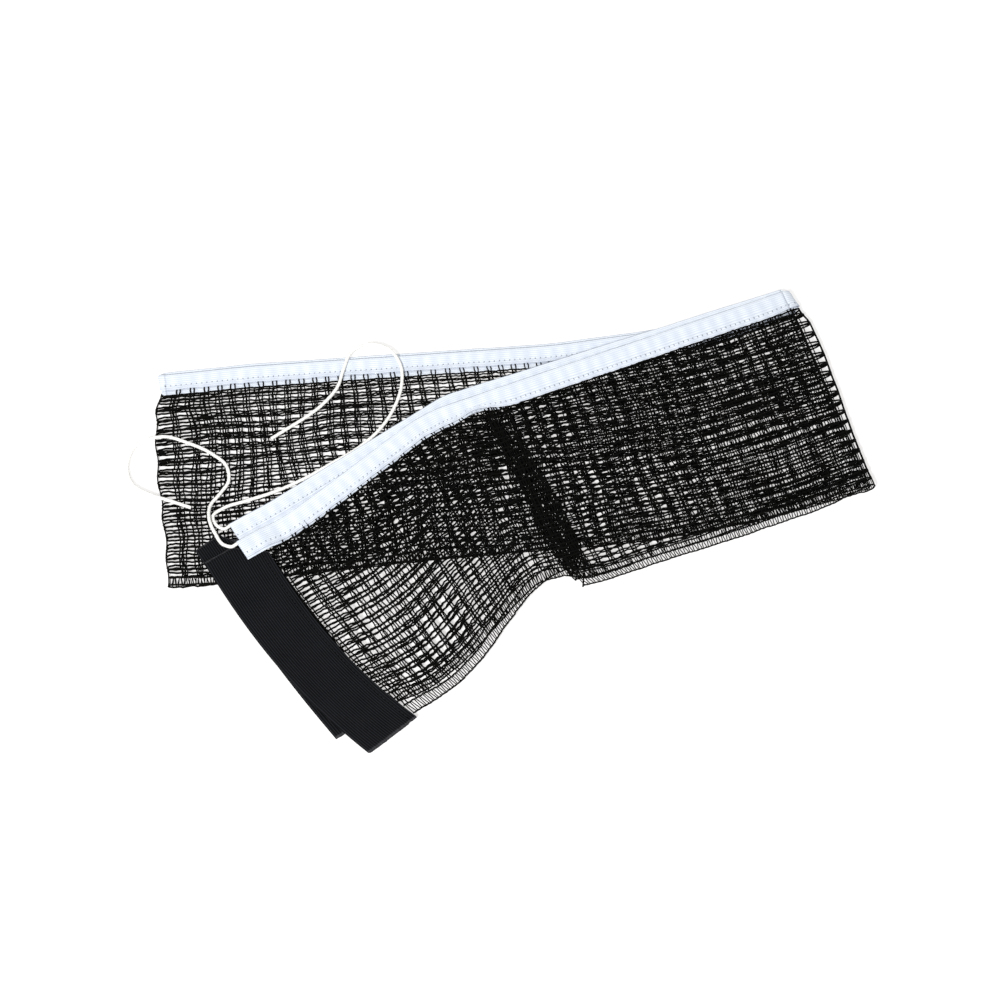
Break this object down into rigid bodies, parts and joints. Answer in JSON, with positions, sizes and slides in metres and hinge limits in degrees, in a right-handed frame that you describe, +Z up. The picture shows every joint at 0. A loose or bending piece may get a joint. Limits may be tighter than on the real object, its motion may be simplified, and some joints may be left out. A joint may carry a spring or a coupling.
{
  "type": "table-tennis net",
  "caption": "Table-tennis net with a corded head tape and two post sleeves, folded in four and laid flat.",
  "frame": {"origin": "bottom centre of the folded net, on the surface that it lies on", "axes": "+X towards the right fold, +Y towards the head tape at the back, +Z up"},
  "size_m": [0.4852, 0.3271, 0.0129],
  "materials": {
    "netting": "matt knitted black polyester thread",
    "head_tape": "semi-matt woven ribbon with fine lengthwise ribs",
    "cord": "matt twisted off-white cord",
    "tape_thread": "white sewing thread",
    "sleeve_webbing": "matt black ribbed webbing",
    "sleeve_thread": "black sewing thread"
  },
  "bodies": {
    "lower_half": {"netting_bottom_panel": "netting", "netting_third_panel": "netting", "netting_middle_fold": "netting", "head_tape_bottom": "head_tape", "head_tape_third": "head_tape", "head_tape_middle_fold": "head_tape", "head_cord_bottom": "cord", "head_cord_third": "cord", "head_cord_middle_fold": "cord", "tape_seam_bottom": "tape_thread", "tape_seam_third": "tape_thread", "netting_inner_fold": "netting", "netting_outer_fold": "netting", "head_tape_inner_fold": "head_tape", "head_tape_outer_fold": "head_tape", "head_cord_inner_fold": "cord", "head_cord_outer_fold": "cord"},
    "upper_half": {"netting_second_panel": "netting", "netting_second_end": "netting", "netting_top_panel": "netting", "netting_top_pleat": "netting", "netting_top_end": "netting", "head_tape_second": "head_tape", "head_tape_top": "head_tape", "head_cord_second": "cord", "head_cord_top": "cord", "tape_seam_second": "tape_thread", "tape_seam_top": "tape_thread", "sleeve_back_lower_ply": "sleeve_webbing", "sleeve_back_upper_ply": "sleeve_webbing", "sleeve_back_folded_edge": "sleeve_webbing", "sleeve_back_seam": "sleeve_thread", "sleeve_front_lower_ply": "sleeve_webbing", "sleeve_front_upper_ply": "sleeve_webbing", "sleeve_front_folded_edge": "sleeve_webbing", "sleeve_front_seam": "sleeve_thread", "cord_tail_back": "cord", "cord_tail_front": "cord"}
  },
  "joints": [
    {"name": "unfold", "type": "hinge", "parent": "lower_half", "child": "upper_half", "pos_m": [0.1822, 0.162, 0.00635], "axis": [-0.309, 0.9511, 0], "range_deg": [0, 175], "deforming": ["netting_inner_fold", "netting_outer_fold", "head_tape_inner_fold", "head_tape_outer_fold", "head_cord_inner_fold", "head_cord_outer_fold"]}
  ]
}
